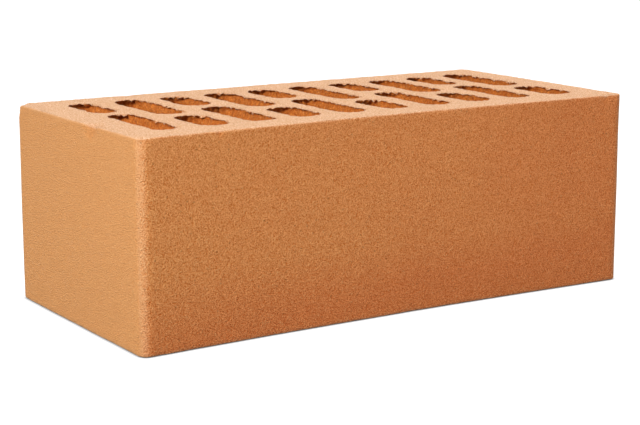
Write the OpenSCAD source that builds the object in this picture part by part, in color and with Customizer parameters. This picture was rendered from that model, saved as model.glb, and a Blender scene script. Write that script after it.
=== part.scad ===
// Extruded and fired clay brick with upright slots, lying on its lower bed face.
// Millimetres. X runs along the stretcher faces, Y along the header faces and Z up.
// The origin is the middle of the lower bed face.

/* [Brick] */
// Length of the stretcher faces
brick_length = 250; // [220:1:300]
// Length of the header faces
brick_width = 120; // [100:1:150]
// Height from bed face to bed face
brick_height = 88; // [50:1:140]
// Radius of the four upright arrises, which the die rounds
upright_radius = 4; // [2:0.5:8]
// Bevel of the arrises round both bed faces, where the cut edge wears
bed_bevel = 1; // [0.5:0.25:1.75]

/* [Slots] */
// Columns of slots along the brick, with two slots in each
slot_columns = 10; // [6:1:11]
// Width of a slot, whose ends are half round
slot_width = 13; // [8:0.5:15]
// Wall between the slots and a stretcher face
stretcher_wall = 15.5; // [12:0.5:20]
// Wall between an end column and a header face
header_wall = 16; // [12:0.5:20]
// Web between the two slots of a column
cross_web = 7; // [4:0.5:12]
// How far a column's web lies off the brick's middle line, to the two sides by turns
web_offset = 9; // [0:0.5:15]

/* [Hidden] */
// How far the slot cores run past the bed faces
core_overrun = 1;
slot_radius = slot_width / 2;
slot_reach = brick_width / 2 - stretcher_wall;
end_column = brick_length / 2 - header_wall - slot_radius;
column_pitch = 2 * end_column / (slot_columns - 1);
post_x = brick_length / 2 - upright_radius;
post_y = brick_width / 2 - upright_radius;
fired_clay = [0.80, 0.53, 0.31];
$fn = 64;

// Upright outline from the middle out to one face, bevelled at both bed faces
module half_section(reach) {
    polygon([
        [0, 0],
        [reach - bed_bevel, 0],
        [reach, bed_bevel],
        [reach, brick_height - bed_bevel],
        [reach - bed_bevel, brick_height],
        [0, brick_height]
    ]);
}

// Straight slab between two opposite faces, each as far out as reach
module slab(reach, run) {
    rotate([90, 0, 0])
        linear_extrude(run, center = true) {
            half_section(reach);
            mirror([1, 0]) half_section(reach);
        }
}

// Solid block before the slots, with its upright arrises as turned posts
module blank() {
    slab(brick_length / 2, 2 * post_y);
    rotate([0, 0, 90]) slab(brick_width / 2, 2 * post_x);
    for (x = [-post_x, post_x], y = [-post_y, post_y])
        translate([x, y, 0]) rotate_extrude() half_section(upright_radius);
}

// Core of one slot, from end to end along Y
module slot_core(y_low, y_high) {
    translate([0, 0, -core_overrun])
        linear_extrude(brick_height + 2 * core_overrun) {
            translate([-slot_radius, y_low + slot_radius])
                square([slot_width, y_high - y_low - slot_width]);
            for (y = [y_low + slot_radius, y_high - slot_radius])
                translate([0, y]) circle(slot_radius);
        }
}

// Front and back slot of one column, parted by the web at web_y
module column_cores(web_y) {
    slot_core(-slot_reach, web_y - cross_web / 2);
    slot_core(web_y + cross_web / 2, slot_reach);
}

module brick() {
    color(fired_clay)
        difference() {
            blank();
            for (column = [0 : slot_columns - 1]) {
                side = column % 2 == 0 ? 1 : -1;
                translate([column * column_pitch - end_column, 0, 0])
                    column_cores(side * web_offset);
            }
        }
}

brick();
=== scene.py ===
"""Looks of a slotted clay brick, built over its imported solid. Metres, in the part's own frame."""

from math import cos, pi, radians, sin

import bpy
import numpy as np
from mathutils import Matrix, Vector, noise
from mathutils.geometry import delaunay_2d_cdt


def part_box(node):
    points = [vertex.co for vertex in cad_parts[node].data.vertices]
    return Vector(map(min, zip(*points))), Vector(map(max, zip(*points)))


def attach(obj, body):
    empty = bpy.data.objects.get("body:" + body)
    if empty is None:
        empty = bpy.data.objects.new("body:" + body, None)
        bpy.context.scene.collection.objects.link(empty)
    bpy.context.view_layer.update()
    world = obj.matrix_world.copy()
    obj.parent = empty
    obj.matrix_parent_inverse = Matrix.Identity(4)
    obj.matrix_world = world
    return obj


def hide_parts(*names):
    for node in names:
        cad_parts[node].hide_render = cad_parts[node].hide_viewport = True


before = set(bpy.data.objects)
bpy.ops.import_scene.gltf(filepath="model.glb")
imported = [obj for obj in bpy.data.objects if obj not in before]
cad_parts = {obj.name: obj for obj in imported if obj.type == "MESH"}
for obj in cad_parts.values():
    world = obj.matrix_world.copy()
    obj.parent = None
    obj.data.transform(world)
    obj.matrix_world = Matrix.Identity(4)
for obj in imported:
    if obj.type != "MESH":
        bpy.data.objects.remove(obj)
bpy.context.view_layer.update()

MM = 0.001
SEED = 7

# Plan of the brick, as in its source
LOWEST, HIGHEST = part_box("brick")
LENGTH, WIDTH, HEIGHT = HIGHEST - LOWEST
UPRIGHT_RADIUS = 4 * MM
SLOT_COLUMNS = 10
SLOT_WIDTH = 13 * MM
STRETCHER_WALL = 15.5 * MM
HEADER_WALL = 16 * MM
CROSS_WEB = 7 * MM
WEB_OFFSET = 9 * MM
# How much each column of slots came out wider on either side, from left to right
COLUMN_SPREAD = np.array([-0.8, 0.5, 0.5, 0.7, 0.4, 0, 0, 0.4, 0, 0.9]) * MM

# Rounding of the edges round the bed faces and round the slots' mouths
ARRIS_RADIUS = 0.6 * MM
MOUTH_RADIUS = 0.2 * MM
ROUNDING_STEPS = 2

# Spacing of the vertices round the brick and round a slot, which doubles below the fine depth
BRICK_STEP = 1.1 * MM
SLOT_STEP = 0.6 * MM
FINE_DEPTH = 8 * MM
# Rows of a wall: height of the first one at each bed, and how much each next one grows
UPPER_ROWS = (0.5 * MM, 1.3)
LOWER_ROWS = (1.2 * MM, 1.8)
# Spacing of the vertices on a bed face, and how far from an edge it starts and ends
UPPER_BED = (
    (0.7 * MM, 0.5 * MM, 1.6 * MM),
    (1.3 * MM, 1.9 * MM, 4.2 * MM),
    (2.0 * MM, 4.6 * MM, LENGTH),
)
LOWER_BED = (
    (1.4 * MM, 1.0 * MM, 2.5 * MM),
    (3.0 * MM, 3.5 * MM, LENGTH),
)
GRID_JITTER = 0.18
# How a bed is cut into triangles: only inside its outline, and how near two points count as one
INSIDE_ONLY = 1
WELD_DISTANCE = 1e-9


def slot_plan():
    """Centre and half size of each slot, column by column."""
    end_column = LENGTH / 2 - HEADER_WALL - SLOT_WIDTH / 2
    reach = WIDTH / 2 - STRETCHER_WALL
    for column, x in enumerate(np.linspace(-end_column, end_column, SLOT_COLUMNS)):
        web = WEB_OFFSET if column % 2 == 0 else -WEB_OFFSET
        for y_low, y_high in ((-reach, web - CROSS_WEB / 2), (web + CROSS_WEB / 2, reach)):
            half = np.array([SLOT_WIDTH / 2 + COLUMN_SPREAD[column], (y_high - y_low) / 2])
            yield np.array([x, (y_low + y_high) / 2]), half


SLOTS = list(slot_plan())
BRICK_HALF = np.array([LENGTH / 2, WIDTH / 2])


def rounded_outline(half, radius, step):
    """Points of a rounded rectangle, anticlockwise, and the direction out of it at each."""
    points, outward = [], []
    arc_steps = round(radius * pi / 2 / step)
    for quarter, corner in enumerate(((1, 1), (-1, 1), (-1, -1), (1, -1))):
        turn = (quarter + np.arange(arc_steps + 1) / arc_steps) * pi / 2
        ray = np.column_stack([np.cos(turn), np.sin(turn)])
        arc = corner * (half - radius) + radius * ray
        run = 2 * (half - radius)[quarter % 2]
        run_steps = round(run / step)
        along = np.array([-ray[-1][1], ray[-1][0]])
        between = np.arange(1, run_steps)[:, None] * (run / max(run_steps, 1)) * along
        # Where no straight run follows, the next arc starts at this one's last point
        last = len(arc) if run_steps else arc_steps
        points += [arc[:last], arc[-1] + between]
        outward += [ray[:last], np.tile(ray[-1], (len(between), 1))]
    return np.concatenate(points), np.concatenate(outward)


def outside(points, centre, half, radius):
    """Distance outside a rounded rectangle, negative inside it."""
    past = np.abs(points - centre) - (half - radius)
    return np.linalg.norm(np.maximum(past, 0), axis=1) + np.minimum(past.max(1), 0) - radius


def clearance(points):
    """Distance of plan points from the nearest edge of the clay, and whether a slot has that edge."""
    from_side = -outside(points, 0, BRICK_HALF, UPRIGHT_RADIUS)
    from_slot = np.min([outside(points, centre, half, half[0]) for centre, half in SLOTS], axis=0)
    return np.minimum(from_side, from_slot), from_slot < from_side


def away_from_edge(points, probe=0.05 * MM):
    """Plan direction in which the nearest edge falls away."""
    slope = [clearance(points + move)[0] - clearance(points - move)[0] for move in np.eye(2) * probe]
    slope = np.column_stack(slope)
    # Midway between two edges the slope can vanish, so its length is kept above nothing
    return slope / np.maximum(np.linalg.norm(slope, axis=1, keepdims=True), probe / 10)


def graded_grid(levels):
    """Staggered points over a bed face, close together near the edges."""
    rng = np.random.default_rng(SEED)
    found = []
    for spacing, nearest, farthest in levels:
        x = np.arange(-LENGTH / 2, LENGTH / 2, spacing)
        y = np.arange(-WIDTH / 2, WIDTH / 2, spacing * sin(pi / 3))
        grid_x, grid_y = np.meshgrid(x, y)
        grid_x[::2] += spacing / 2
        grid = np.column_stack([grid_x.ravel(), grid_y.ravel()])
        grid += rng.uniform(-GRID_JITTER, GRID_JITTER, grid.shape) * spacing
        gap = clearance(grid)[0]
        found.append(grid[(gap > nearest) & (gap < farthest)])
    return np.concatenate(found)


def bed_triangles(rims, grid):
    """Triangles of a bed face, numbered over its rims' points, the brick's first, and then the grid's."""
    edges, rim_of, first = [], [], 0
    for order, rim in enumerate(rims):
        ring = np.arange(first, first + len(rim))
        edges.append(np.column_stack([ring, np.roll(ring, -1)]))
        rim_of.append(np.full(len(rim), order))
        first += len(rim)
    points = [Vector(point) for point in np.concatenate([*rims, grid])]
    edges = np.concatenate(edges).tolist()
    _, _, corners, source, _, _ = delaunay_2d_cdt(points, edges, [], INSIDE_ONLY, WELD_DISTANCE)
    corners = np.array([origin[0] for origin in source])[np.array(corners)]
    # A triangle with all its corners on one slot's rim lies in the slot
    rim = np.concatenate([*rim_of, np.full(len(grid), -1)])[corners]
    in_slot = (rim[:, 0] > 0) & (rim[:, 0] == rim[:, 1]) & (rim[:, 0] == rim[:, 2])
    return corners[~in_slot]


def wall_depths(first, growth):
    """Depths of a wall's rows from a bed face down to the middle, each gap larger than the last."""
    depths = [first]
    while depths[-1] < HEIGHT / 2:
        depths.append(depths[-1] + first * growth ** len(depths))
    return np.array(depths) * (HEIGHT / 2 / depths[-1])


def wall_profile(radius):
    """Depth of each row below the upper bed face, and how far it is set back into the clay."""
    turn = np.linspace(0, pi / 2, ROUNDING_STEPS + 1)
    round_depth, round_back = radius * (1 - np.cos(turn)), radius * (1 - np.sin(turn))
    upper, lower = wall_depths(*UPPER_ROWS), wall_depths(*LOWER_ROWS)
    shrink = 1 - 2 * radius / HEIGHT
    straight = np.concatenate([radius + upper * shrink, HEIGHT - radius - lower[-2::-1] * shrink])
    depth = np.concatenate([round_depth, straight, HEIGHT - round_depth[::-1]])
    back = np.concatenate([round_back, np.zeros(len(straight)), round_back[::-1]])
    return depth, back


def quad_strip(upper, lower):
    """Faces between two rings of as many vertices."""
    return np.column_stack([upper, lower, np.roll(lower, -1), np.roll(upper, -1)])


def halving_strip(upper, lower):
    """Faces between a ring and the next one down, which has half as many vertices."""
    here, between, ahead = upper[::2], upper[1::2], np.roll(upper[::2], -1)
    lower_ahead = np.roll(lower, -1)
    return np.concatenate([
        np.column_stack([here, lower, between]),
        np.column_stack([lower, lower_ahead, between]),
        np.column_stack([lower_ahead, ahead, between]),
    ])


class Skin:
    """Surface of the brick: its vertices, its faces and what the relief asks of each vertex."""

    def __init__(self):
        self.place, self.into, self.gap, self.of_slot, self.on_bed = [], [], [], [], []
        self.faces, self.upper_rims, self.lower_rims = [], [], []
        self.count = 0

    def add(self, place, into, gap, of_slot, on_bed):
        """Adds vertices and returns their numbers."""
        first = self.count
        self.count += len(place)
        self.place.append(place)
        self.into.append(into)
        self.gap.append(np.broadcast_to(gap, len(place)))
        self.of_slot.append(np.broadcast_to(of_slot, len(place)))
        self.on_bed.append(np.broadcast_to(on_bed, len(place)))
        return np.arange(first, self.count)

    def add_wall(self, plan, into, radius, of_slot):
        """An upright wall round a closed plan, row by row down. into points into the clay."""
        rings = []
        for depth, back in zip(*wall_profile(radius)):
            stride = 1 if depth < FINE_DEPTH else 2
            flat = plan[::stride] + into[::stride] * back
            place = np.column_stack([flat, np.full(len(flat), HEIGHT - depth)])
            rings.append(self.add(place, into[::stride], 0, of_slot, False))
        for upper, lower in zip(rings, rings[1:]):
            strip = quad_strip(upper, lower) if len(upper) == len(lower) else halving_strip(upper, lower)
            self.faces.append(strip[:, ::-1] if of_slot else strip)
        self.upper_rims.append((rings[0], plan + into * radius))
        self.lower_rims.append((rings[-1], plan[::2] + into[::2] * radius))

    def add_bed(self, levels, upper):
        """A bed face between the walls' rims."""
        rims = self.upper_rims if upper else self.lower_rims
        grid = graded_grid(levels)
        gap, of_slot = clearance(grid)
        height = np.full((len(grid), 1), HEIGHT if upper else 0.0)
        grid_number = self.add(np.hstack([grid, height]), away_from_edge(grid), gap, of_slot, True)
        number = np.concatenate([ring for ring, _ in rims] + [grid_number])
        triangles = number[bed_triangles([plan for _, plan in rims], grid)]
        self.faces.append(triangles if upper else triangles[:, ::-1])

    def close(self):
        """Joins the blocks that were added."""
        for name in ("place", "into", "gap", "of_slot", "on_bed"):
            setattr(self, name, np.concatenate(getattr(self, name)))


def plain_skin():
    """The brick's surface before any relief."""
    skin = Skin()
    plan, outward = rounded_outline(BRICK_HALF, UPRIGHT_RADIUS, BRICK_STEP)
    skin.add_wall(plan, -outward, ARRIS_RADIUS, False)
    for centre, half in SLOTS:
        plan, outward = rounded_outline(half, half[0], SLOT_STEP)
        skin.add_wall(centre + plan, outward, MOUTH_RADIUS, True)
    skin.add_bed(UPPER_BED, True)
    skin.add_bed(LOWER_BED, False)
    skin.close()
    return skin


# Noise: how its octaves fall off and how much finer each is, and how far apart the seeds lie
OCTAVE_FALLOFF, OCTAVE_STEP = 1.0, 2.0
SEED_APART = np.array([13.7, 5.1, 9.3])


def fractal(points, size, seed, octaves=3):
    """Smooth noise about zero, with lumps as large as size."""
    moved = points / size + seed * SEED_APART
    return np.array([noise.fractal(Vector(p), OCTAVE_FALLOFF, OCTAVE_STEP, octaves) for p in moved])


# Chips and worn corners, in millimetres: place, reach, depth, and how much torn clay shows
CHIPS = (
    ((-125, -17, 88), 7, 1.2, 0.1),
    ((-125, 60, 88), 6, 1.2, 0),
    ((-125, -60, 88), 6, 0.8, 0),
    ((-88, -60, 88), 2.5, 0.6, 0.2),
    ((-104, -60, 88), 4, 0.25, 0),
    ((115, -60, 88), 5, 0.5, 0),
    ((-97, -39, 88), 2.2, 1.8, 0.9),
    ((-70, 60, 88), 3, 0.5, 0.4),
    ((-40, 60, 0), 8, 1.2, 0.2),
    ((125, 20, 0), 7, 1.0, 0.2),
    ((125, 60, 0), 8, 1.5, 0.2),
)
CHIP_ROUGHNESS, CHIP_LUMPS = 0.8, 2 * MM
# Chips dent the skin towards the nearest clay that lies this deep
CORE_DEPTH = 20 * MM

# The cutting wire's way over the clay, in plan: it tore the rims where it left a slot
WIRE_WAY = np.array([0.75, 0.66])
# How far the front face's middle lies back, from its firing
FRONT_HOLLOW = 3 * MM

# Depth and lumps of the relief in the slots: lines that the die drew, lumps, and ragged rims
DRAWN_DEPTH, DRAWN_LUMPS, DRAWN_REACH = 0.7 * MM, np.array([8, 8, 120]) * MM, 3 * MM
LUMP_DEPTH, LUMP_SIZE = 0.4 * MM, 2.2 * MM
RAGGED_DEPTH, RAGGED_LUMPS, TORN_REACH = 0.55 * MM, 1.1 * MM, 0.8 * MM
# Pockets torn out under the rims: where they lie deepest, how patchy they are, and their shares
POCKET_DEPTH, POCKET_LUMPS, POCKET_DROP = 1.0 * MM, 1.3 * MM, 0.6 * MM
POCKET_MEAN, POCKET_SPREAD, POCKET_MOST = 0.8, 1.6, 1.5
POCKET_ALL_ROUND, POCKET_WHERE_LEFT, POCKET_FAR_END = 0.6, 1.1, 1.0

# Depth and lumps of the relief of the outer faces and their edges
WARP_DEPTH, WARP_LUMPS = 0.3 * MM, 70 * MM
SKIN_DEPTH, SKIN_LUMPS = 0.06 * MM, 7 * MM
WEAR_DEPTH, WEAR_LUMPS, WEAR_REACH, WEAR_MEAN = 0.25 * MM, 5 * MM, 1.5 * MM, 0.1

# Depth and lumps of the relief of the bed faces: the wire's drag lines and pits, and crumbled rims
CUT_DEPTH, DRAG_LUMPS, PIT_LUMPS = 0.12 * MM, np.array([1.6, 12, 4]) * MM, 3.0 * MM
CRUMB_DEPTH, CRUMB_LUMPS = 0.9 * MM, 1.4 * MM
CRUMB_MEAN, CRUMB_SPREAD, CRUMB_ALL_ROUND = 0.2, 1.5, 0.15


def chip_off(place, home):
    """Dents the skin towards the brick's inside at each chip, and returns where torn clay shows."""
    torn = np.zeros(len(home))
    core = np.array([LENGTH / 2, WIDTH / 2, HEIGHT / 2]) - CORE_DEPTH
    middle = np.array([0, 0, HEIGHT / 2])
    for spot, reach, depth, shows in CHIPS:
        spot = np.array(spot) * MM
        inward = middle + np.clip(spot - middle, -core, core) - spot
        inward /= np.linalg.norm(inward)
        near = np.linalg.norm(home - spot, axis=1) / (reach * MM)
        hit = np.flatnonzero(near < 1)
        rough = 1 + CHIP_ROUGHNESS * fractal(home[hit], CHIP_LUMPS, seed=21)
        dent = (1 - near[hit] ** 2) * rough
        place[hit] += (dent * depth * MM)[:, None] * inward
        torn[hit] = np.maximum(torn[hit], dent * shows)
    return torn


def fading(distance, reach):
    """1 at an edge, and less with the distance from it."""
    return np.exp(-distance / reach)


def wire_left(into):
    """How squarely the cutting wire ran into the clay here as it left a slot."""
    return np.maximum(into @ WIRE_WAY, 0)


def pockets(home, into, drop):
    """How deep the clay was torn out under the rims, in shares: most at the slots' far ends."""
    far_end = np.maximum(into[:, 1], 0) ** 2
    under = drop / (POCKET_DROP * (1 + far_end))
    patchy = np.clip(POCKET_MEAN + POCKET_SPREAD * fractal(home, POCKET_LUMPS, seed=1), 0, POCKET_MOST)
    share = POCKET_ALL_ROUND + POCKET_WHERE_LEFT * wire_left(into) + POCKET_FAR_END * far_end
    return under * np.exp(1 - under) * patchy * share


def slot_push(home, gap, drop, wall):
    """How far the slots' walls and rims lie back from their plain form."""
    drawn = fractal(home, DRAWN_LUMPS, seed=2) * fading(gap, DRAWN_REACH)
    lumps = fractal(home, LUMP_SIZE, seed=3) * wall
    ragged = fractal(home, RAGGED_LUMPS, seed=4) * fading(gap + drop, TORN_REACH)
    return DRAWN_DEPTH * drawn + LUMP_DEPTH * lumps + RAGGED_DEPTH * ragged


def side_push(home, gap, drop, wall):
    """How far the outer faces and the bed faces' edges lie back from their plain form."""
    warp = fractal(home, WARP_LUMPS, seed=5, octaves=2) * wall
    lumps = fractal(home, SKIN_LUMPS, seed=6) * wall
    wear = np.maximum(fractal(home, WEAR_LUMPS, seed=7) + WEAR_MEAN, 0) * fading(gap + drop, WEAR_REACH)
    return WARP_DEPTH * warp + SKIN_DEPTH * lumps + WEAR_DEPTH * wear


def crumbled(home, into, gap, slot):
    """How far the beds have crumbled at the slots' rims, in shares: most where the wire left."""
    crumbs = np.maximum(CRUMB_SPREAD * fractal(home, CRUMB_LUMPS, seed=10) + CRUMB_MEAN, 0)
    return fading(gap, TORN_REACH) * crumbs * (CRUMB_ALL_ROUND + wire_left(into)) * slot


def cut_sink(home, drop, crumbs):
    """How far the beds lie below their plain form, with the wire's drag lines and pits."""
    drag = fractal(home, DRAG_LUMPS, seed=8, octaves=2)
    pits = fractal(home, PIT_LUMPS, seed=9)
    sink = CUT_DEPTH * (1 + drag + pits) + CRUMB_DEPTH * crumbs
    return np.maximum(sink * fading(drop, TORN_REACH), 0)


def hollow_front(place, home):
    """Draws the front face's middle back, and what lies behind it by less and less."""
    arch = 1 - (2 * home[:, 0] / LENGTH) ** 2
    place[:, 1] += FRONT_HOLLOW * arch * np.maximum(-2 * home[:, 1] / WIDTH, 0)


def depth_from_bed(home):
    """Distance from the nearer bed face."""
    return np.minimum(home[:, 2], HEIGHT - home[:, 2])


def roughen(skin):
    """Where the vertices of drawn, cut and fired clay lie, and where it is broken and torn."""
    home, slot, wall = skin.place, skin.of_slot, ~skin.on_bed
    drop = depth_from_bed(home)
    torn = np.zeros(len(home))
    inner = slot & wall
    torn[inner] = pockets(home[inner], skin.into[inner], drop[inner])
    push = POCKET_DEPTH * torn
    push[slot] += slot_push(home[slot], skin.gap[slot], drop[slot], wall[slot])
    push[~slot] += side_push(home[~slot], skin.gap[~slot], drop[~slot], wall[~slot])
    broken = crumbled(home, skin.into, skin.gap, slot)

    place = home.copy()
    place[:, :2] += skin.into * push[:, None]
    place[:, 2] += np.where(home[:, 2] > HEIGHT / 2, -1, 1) * cut_sink(home, drop, broken)
    broken = np.maximum(broken, chip_off(place, home))
    hollow_front(place, home)
    # Nothing goes below what the brick lies on
    place[:, 2] = np.maximum(place[:, 2], 0)
    return place, broken, torn


# How strongly the painted shade of the torn pockets and the broken clay show, and how much sand lies on the
# beds and in the slots
TORN_SHADE_SHOWS, BROKEN_SHOWS = 0.55, 2
BED_SAND = 0.9
# How far the cut's pale colour, partly painted sheen, runs over an edge, and how much of it an upright arris
# has as painted sheen
CUT_FADE, ARRIS_SHEEN = 0.3 * MM, 0.3
# How far down a slot its own colour, darker in part as painted shade, is full
SLOT_FADE = 0.4 * MM


def clay_masks(skin, broken, torn):
    """What the material reads at each vertex, from 0 to 1."""
    drop = depth_from_bed(skin.place)
    into_x, into_y = skin.into.T
    side = ~skin.on_bed & ~skin.of_slot
    arris = 2 * np.abs(into_x * into_y) * ~skin.of_slot
    # Painted sheen: the upright arrises take a share of the cut faces' pale colour
    over_edge = np.maximum(fading(drop, CUT_FADE), ARRIS_SHEEN * arris)
    down_slot = np.minimum(drop / SLOT_FADE, 1)
    return {
        # Painted shade in the pockets torn out under the slots' rims
        "torn": np.clip(TORN_SHADE_SHOWS * torn, 0, 1),
        # Share of the sand grain's tint, with painted light and shade, full on the stretchers that the key
        # lamp rakes
        "sand_and_grain_shade": np.where(side, into_y ** 4, BED_SAND),
        "header": side * into_x ** 2,
        # Cut faces, partly the wire-cut clay and partly painted sheen, with painted sheen on the upright
        # arrises
        "cut_face_and_sheen": np.where(skin.on_bed, 1.0, over_edge),
        "slot_wall": np.where(skin.of_slot & ~skin.on_bed, down_slot, np.minimum(BROKEN_SHOWS * broken, 1)),
    }


def brick_piece(material):
    """The brick as one closed mesh, with the masks that its material reads."""
    skin = plain_skin()
    faces = [tuple(face) for block in skin.faces for face in block.tolist()]
    mesh = bpy.data.meshes.new("brick_body")
    place, broken, torn = roughen(skin)
    mesh.from_pydata(place.tolist(), [], faces)
    mesh.polygons.foreach_set("use_smooth", np.ones(len(faces), bool))
    for name, mask in clay_masks(skin, broken, torn).items():
        mesh.attributes.new(name, "FLOAT", "POINT").data.foreach_set("value", mask.astype(np.float32))
    mesh.materials.append(material)
    piece = bpy.data.objects.new("brick_body", mesh)
    bpy.context.collection.objects.link(piece)
    return piece


# Colours of the clay, as linear light
# CLAY_WARM and CLAY_PALE are the two ends of painted light and shade on the outer faces, warmer and darker
# to the right and at the foot, mixed with random patches
CLAY_WARM = (0.66, 0.198, 0.057, 1)
CLAY_PALE = (0.72, 0.28, 0.085, 1)
# Pale cut faces: partly the wire-cut clay, partly painted sheen of the grazing top
CUT_CLAY_AND_SHEEN = (0.78, 0.44, 0.25, 1)
# Paler, yellower headers: partly the clay, partly painted sheen of the grazing left face
HEADER_CLAY_AND_SHEEN = (0.71, 0.305, 0.103, 1)
# The slots' clay: darker and redder than the skin, in part painted shade
SLOT_CLAY_AND_SHADE = (0.60, 0.168, 0.025, 1)
# Painted shade on the torn clay in the pockets under the slots' rims
TORN_CLAY_AND_SHADE = (0.48, 0.112, 0.014, 1)
SAND_GRAIN = (0.82, 0.48, 0.20, 1)
DARK_GRAIN = (0.20, 0.065, 0.018, 1)
CLAY_DUST = (1, 0.95, 0.65, 1)
# What the sand, the larger mottles and the slots' patches make of those colours, at their deepest and palest
SHADED_SAND, LIT_SAND = (0.74, 0.46, 0.17, 1), (1.26, 1.54, 1.83, 1)
DEEP_MOTTLE, PALE_MOTTLE = (0.985, 0.975, 0.965, 1), (1.015, 1.025, 1.035, 1)
DEEP_WALL, PALE_WALL = (0.74, 0.64, 0.55, 1), (1.22, 1.30, 1.42, 1)

# Turn of the noises' grid in radians, so that no face lies along it
NOISE_TURN = (0.5, 0.35, 0.6)
# Size, octaves and roughness of each noise in the clay's colour
FLASH_PATCHES = (55 * MM, 2, 0.5)
WALL_PATCHES = (2.1 * MM, 3, 0.65)
MOTTLES = (4.5 * MM, 4, 0.6)
SAND = (0.55 * MM, 1.5, 0.7)
# Painted light: paler clay from the right end to the left one, where the key lamp stands, and how much the
# clay's random patches add
PAINTED_LIGHT_RIGHT, PAINTED_LIGHT_LEFT, FLASH_PATCHY = 0.1, 0.9, 0.5
# How high the painted shade at the foot reaches, darker towards the bottom, and how much less pale it makes
# the clay at its lowest
FOOT_SHADE_HEIGHT, FOOT_SHADE = 32 * MM, 0.8
# Stretch of each value over which a colour goes from its deepest to its palest
LIGHT_SHADE_AND_PATCH_STRETCH = (0.2, 1.2)
WALL_STRETCH = (0.34, 0.66)
MOTTLE_STRETCH = (0.25, 0.75)
SAND_STRETCH = (0.32, 0.68)
# Share of the sand's tint on the headers: the tint is sand grain with painted light and shade, weakest on
# the headers, which the key lamp lights squarely, and full on the stretchers, which it rakes
LEAST_SAND = 0.34
# Single grains: size of their cells, share of these that hold one, its radius in cells, strength and colour
GRAINS = (
    (1.2 * MM, 0.12, 0.38, 0.3, SAND_GRAIN),
    (1.5 * MM, 0.06, 0.36, 0.4, DARK_GRAIN),
)
# Relief too fine for the mesh: its depth, and the shares of sand and mottles in it
BUMP_DEPTH, SAND_RELIEF, MOTTLE_RELIEF = 1.8 * MM, 0.6, 0.12
# Finish: the roughness over a stretch of the mottles, the gloss, and the dust's sheen
ROUGH_STRETCH = (0.2, 0.8)
SMOOTHEST, ROUGHEST = 0.58, 0.74
GLOSS, DUST_SHEEN = 0.12, 0.04


class Shader:
    """Builds a material's nodes."""

    def __init__(self, name):
        self.material = bpy.data.materials.new(name)
        self.material.use_nodes = True
        self.tree = self.material.node_tree
        self.surface = self.tree.nodes["Principled BSDF"]
        self.coordinate = self.add("ShaderNodeTexCoord").outputs["Object"]
        turn = {"Vector": self.coordinate, "Rotation": NOISE_TURN}
        self.turned = self.add("ShaderNodeMapping", turn).outputs["Vector"]

    def add(self, kind, inputs=None, **settings):
        """A node with these settings, and these values or links on its inputs."""
        made = self.tree.nodes.new(kind)
        for name, value in settings.items():
            setattr(made, name, value)
        for name, value in (inputs or {}).items():
            self.set(made.inputs[name], value)
        return made

    def set(self, socket, value):
        """Links an output to a socket, or sets the socket's own value."""
        if isinstance(value, bpy.types.NodeSocket):
            self.tree.links.new(value, socket)
        else:
            socket.default_value = value

    def noise(self, size, detail, roughness):
        """Noise from 0 to 1 with lumps of a size in metres."""
        inputs = {"Vector": self.turned, "Scale": 1 / size, "Detail": detail, "Roughness": roughness}
        return self.add("ShaderNodeTexNoise", inputs).outputs["Fac"]

    def grains(self, size, share, radius):
        """Mask of small round grains, in a share of cells of a size in metres."""
        cells = self.add("ShaderNodeTexVoronoi", {"Vector": self.coordinate, "Scale": 1 / size})
        chance = self.add("ShaderNodeSeparateColor", {0: cells.outputs["Color"]}).outputs[0]
        disc = self.spread(cells.outputs["Distance"], radius, radius / 2)
        return self.math("MULTIPLY", self.math("LESS_THAN", chance, share), disc)

    def math(self, operation, a, b):
        """A sum, product or other function of two values."""
        return self.add("ShaderNodeMath", {0: a, 1: b}, operation=operation).outputs[0]

    def spread(self, value, low, high, to_low=0.0, to_high=1.0):
        """A value moved from one range to another, and held within it."""
        inputs = {"Value": value, "From Min": low, "From Max": high, "To Min": to_low, "To Max": to_high}
        return self.add("ShaderNodeMapRange", inputs).outputs["Result"]

    def mix(self, share, a, b, blend="MIX"):
        """A colour between two others."""
        made = self.add("ShaderNodeMix", {0: share, 6: a, 7: b}, data_type="RGBA", blend_type=blend)
        return made.outputs[2]

    def attribute(self, name):
        """A mask held by the mesh."""
        return self.add("ShaderNodeAttribute", attribute_name=name).outputs["Fac"]


def skin_colour(shader):
    """Colour of the outer faces: painted shade darker at the foot, painted light paler to the left, and
    paler on the headers and where cut, partly painted sheen.
    """
    place = shader.add("ShaderNodeSeparateXYZ", {0: shader.coordinate}).outputs
    # Painted light: paler towards the left end, following the key lamp's falloff along the brick
    painted_light = shader.spread(place["X"], LENGTH / 2, -LENGTH / 2, PAINTED_LIGHT_RIGHT, PAINTED_LIGHT_LEFT)
    # Painted shade: darker and warmer towards the bottom
    foot_shade = shader.spread(place["Z"], FOOT_SHADE_HEIGHT, 0, 0, FOOT_SHADE)
    patches = shader.math("MULTIPLY", shader.noise(*FLASH_PATCHES), FLASH_PATCHY)
    pale = shader.math("SUBTRACT", shader.math("ADD", painted_light, patches), foot_shade)
    paler = shader.spread(pale, *LIGHT_SHADE_AND_PATCH_STRETCH)
    colour = shader.mix(paler, CLAY_WARM, CLAY_PALE)
    # Partly painted sheen: paler headers, and paler cut faces and arrises
    colour = shader.mix(shader.attribute("header"), colour, HEADER_CLAY_AND_SHEEN)
    return shader.mix(shader.attribute("cut_face_and_sheen"), colour, CUT_CLAY_AND_SHEEN)


def slot_colour(shader, colour):
    """A colour with the slots' own laid over it, patchy, and darkest in the pockets torn out under the rims,
    as painted shade.
    """
    slot = shader.attribute("slot_wall")
    # Partly painted shade: the slots' clay is darker than the skin
    colour = shader.mix(slot, colour, SLOT_CLAY_AND_SHADE)
    tint = shader.mix(shader.spread(shader.noise(*WALL_PATCHES), *WALL_STRETCH), DEEP_WALL, PALE_WALL)
    colour = shader.mix(slot, colour, tint, "MULTIPLY")
    # Painted shade in the torn pockets under the rims
    return shader.mix(shader.attribute("torn"), colour, TORN_CLAY_AND_SHADE)


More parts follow.
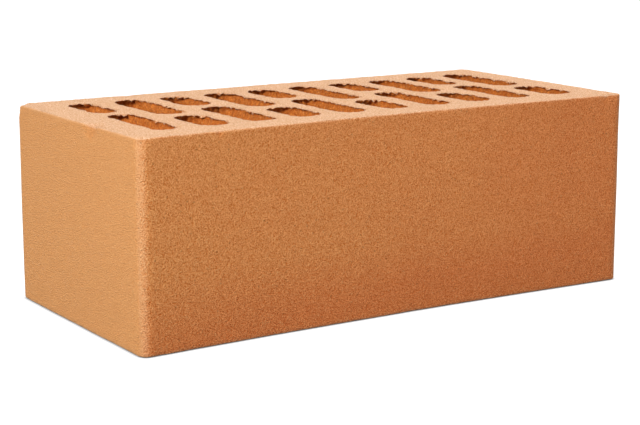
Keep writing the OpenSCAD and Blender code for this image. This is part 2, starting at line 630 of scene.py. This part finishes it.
def sanded_colour(shader, colour, sand, mottle):
    """A colour with sand, mottles and single grains laid over it."""
    sand_tint = shader.mix(shader.spread(sand, *SAND_STRETCH), SHADED_SAND, LIT_SAND)
    # Painted grain shading: the sand's tint is weaker on the headers, which the key lamp lights squarely
    cover = shader.spread(shader.attribute("sand_and_grain_shade"), 0, 1, LEAST_SAND, 1)
    colour = shader.mix(cover, colour, sand_tint, "MULTIPLY")
    mottle_tint = shader.mix(shader.spread(mottle, *MOTTLE_STRETCH), DEEP_MOTTLE, PALE_MOTTLE)
    colour = shader.mix(1.0, colour, mottle_tint, "MULTIPLY")
    for size, share, radius, strength, grain in GRAINS:
        mask = shader.math("MULTIPLY", shader.grains(size, share, radius), strength)
        colour = shader.mix(mask, colour, grain)
    return colour


def fine_relief(shader, sand, mottle):
    """Normal of a surface with the sand and the mottles standing out of it."""
    sand = shader.math("MULTIPLY", sand, SAND_RELIEF)
    mottle = shader.math("MULTIPLY", mottle, MOTTLE_RELIEF)
    height = shader.math("ADD", sand, mottle)
    bump = shader.add("ShaderNodeBump", {"Strength": 1.0, "Distance": BUMP_DEPTH, "Height": height})
    return bump.outputs["Normal"]


def fired_clay():
    """Matt sandy clay: die skin outside, paler where it was cut, in part as painted sheen, and darker in the
    slots, in part as painted shade.
    """
    shader = Shader("fired_clay")
    mottle, sand = shader.noise(*MOTTLES), shader.noise(*SAND)
    finish = {
        "Base Color": sanded_colour(shader, slot_colour(shader, skin_colour(shader)), sand, mottle),
        "Roughness": shader.spread(mottle, *ROUGH_STRETCH, SMOOTHEST, ROUGHEST),
        "Specular IOR Level": GLOSS,
        "Sheen Weight": DUST_SHEEN,
        "Sheen Tint": CLAY_DUST,
        "Normal": fine_relief(shader, sand, mottle),
    }
    for name, value in finish.items():
        shader.set(shader.surface.inputs[name], value)
    return shader.material


# A floor just under the brick, the reach of its soft shadow, and the white all round
FLOOR_SIDE = 40
FLOOR_GAP = 0.1 * MM
FLOOR_SHADE = (0.2, 0.2, 0.2, 1)
SHADOW_REACH = 2 * MM
BACKGROUND = (1, 1, 1, 1)
SKY_STRENGTH = 0.25


def seen_directly(tree):
    """1 for what the camera sees, straight or in a reflection, and 0 for the light that falls on things."""
    path = tree.nodes.new("ShaderNodeLightPath")
    total = path.outputs["Is Camera Ray"]
    for name in ("Is Glossy Ray", "Is Transmission Ray"):
        larger = tree.nodes.new("ShaderNodeMath")
        larger.operation = "MAXIMUM"
        tree.links.new(total, larger.inputs[0])
        tree.links.new(path.outputs[name], larger.inputs[1])
        total = larger.outputs[0]
    return total


def white_floor():
    """White to the eye apart from the shadow close to the brick, and grey to the light."""
    material = bpy.data.materials.new("white_floor")
    material.use_nodes = True
    tree = material.node_tree
    tree.nodes.clear()
    grey = tree.nodes.new("ShaderNodeBsdfDiffuse")
    grey.inputs["Color"].default_value = FLOOR_SHADE
    open_air = tree.nodes.new("ShaderNodeAmbientOcclusion")
    open_air.inputs["Distance"].default_value = SHADOW_REACH
    white = tree.nodes.new("ShaderNodeEmission")
    both = tree.nodes.new("ShaderNodeAddShader")
    out = tree.nodes.new("ShaderNodeOutputMaterial")
    tree.links.new(open_air.outputs["Color"], white.inputs["Color"])
    tree.links.new(seen_directly(tree), white.inputs["Strength"])
    tree.links.new(grey.outputs[0], both.inputs[0])
    tree.links.new(white.outputs[0], both.inputs[1])
    tree.links.new(both.outputs[0], out.inputs["Surface"])
    return material


def floor():
    """A plain white floor that keeps a light shadow of the brick."""
    bpy.ops.mesh.primitive_plane_add(size=FLOOR_SIDE, location=(0, 0, LOWEST.z - FLOOR_GAP))
    plane = bpy.context.object
    plane.name = "floor"
    plane.data.materials.append(white_floor())


def sky():
    """White all round, and dimmer as a source of light than it looks."""
    world = bpy.data.worlds.new("studio")
    bpy.context.scene.world = world
    world.use_nodes = True
    tree = world.node_tree
    background = tree.nodes["Background"]
    background.inputs["Color"].default_value = BACKGROUND
    strength = tree.nodes.new("ShaderNodeMapRange")
    strength.inputs["To Min"].default_value = SKY_STRENGTH
    strength.inputs["To Max"].default_value = 1
    tree.links.new(seen_directly(tree), strength.inputs["Value"])
    tree.links.new(strength.outputs["Result"], background.inputs["Strength"])


# Lamps: azimuth and elevation in degrees, distance, width and height in metres, power in watts, and colour
LAMPS = {
    "key": (-76, 32, 1.3, 0.5, 0.5, 17.4, (0.95, 1, 1)),
    "front": (-4, 12, 0.27, 0.6, 0.03, 0.42, (1, 0.97, 0.93)),
    "top": (112, 60, 1.0, 0.6, 0.6, 6.9, (1, 1, 1)),
}
MIDDLE = (LOWEST + HIGHEST) / 2


def direction(azimuth, elevation):
    """Unit vector from the brick: azimuth 0 is in front of it and 90 to its right, in degrees."""
    a, e = radians(azimuth), radians(elevation)
    return Vector((sin(a) * cos(e), -cos(a) * cos(e), sin(e)))


def soft_box(name, azimuth, elevation, distance, width, height, power, colour):
    """A lamp that faces the brick."""
    lamp = bpy.data.lights.new(name, "AREA")
    lamp.color = colour
    lamp.shape = "RECTANGLE"
    lamp.size = width
    lamp.size_y = height
    lamp.energy = power
    holder = bpy.data.objects.new(name, lamp)
    towards = direction(azimuth, elevation)
    holder.location = MIDDLE + towards * distance
    holder.rotation_euler = towards.to_track_quat("Z", "Y").to_euler()
    holder.visible_camera = False
    bpy.context.collection.objects.link(holder)


# Camera: its bearing, its distance from the brick's origin, its offsets and its lens
CAMERA_AZIMUTH, CAMERA_ELEVATION = -32.67, 11.38
CAMERA_DISTANCE = 786.8 * MM
CAMERA_LEFT, CAMERA_UP = 2.8 * MM, 34.7 * MM
PHOTO_WIDTH_PX, FOCAL_PX = 640, 1700
SENSOR_WIDTH_MM = 36
NEAREST_SEEN = 50 * MM


def camera():
    """The photograph's view."""
    lens = bpy.data.cameras.new("camera")
    lens.sensor_width = SENSOR_WIDTH_MM
    lens.lens = FOCAL_PX * SENSOR_WIDTH_MM / PHOTO_WIDTH_PX
    lens.clip_start = NEAREST_SEEN
    holder = bpy.data.objects.new("camera", lens)
    back = direction(CAMERA_AZIMUTH, CAMERA_ELEVATION)
    right = Vector((cos(radians(CAMERA_AZIMUTH)), sin(radians(CAMERA_AZIMUTH)), 0))
    up = back.cross(right)
    stand = back * CAMERA_DISTANCE - right * CAMERA_LEFT + up * CAMERA_UP
    holder.matrix_world = Matrix.Translation(stand) @ Matrix((right, up, back)).transposed().to_4x4()
    bpy.context.collection.objects.link(holder)
    bpy.context.scene.camera = holder


brick = brick_piece(fired_clay())
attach(brick, "root")
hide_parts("brick")

floor()
sky()
for lamp_name, lamp_values in LAMPS.items():
    soft_box(lamp_name, *lamp_values)
camera()
bpy.context.scene.view_settings.view_transform = "Standard"
